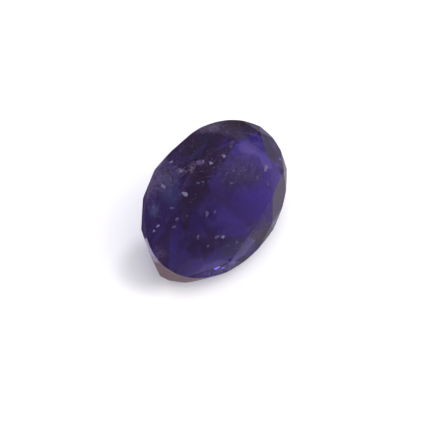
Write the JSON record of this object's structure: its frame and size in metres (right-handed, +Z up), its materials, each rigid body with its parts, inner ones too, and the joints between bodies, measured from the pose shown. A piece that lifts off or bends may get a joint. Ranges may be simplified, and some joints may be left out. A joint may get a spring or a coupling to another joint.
{
  "type": "faceted iolite gemstone",
  "caption": "Oval violet-blue faceted gemstone with a flat table, a sloped crown and a deep pointed pavilion, lying tilted on one pavilion facet.",
  "frame": {"origin": "on the surface the stone lies on, under the middle of its bounding box", "axes": "+X along the length of the oval, +Z up; the table leans towards -Y by the angle of the resting facet, 40 degrees"},
  "size_m": [0.008, 0.0046, 0.0046],
  "materials": {
    "iolite": "polished transparent iolite, violet-blue and brownish at the culet end, softly worn facet edges"
  },
  "bodies": {
    "root": {"iolite": "iolite"}
  },
  "joints": []
}
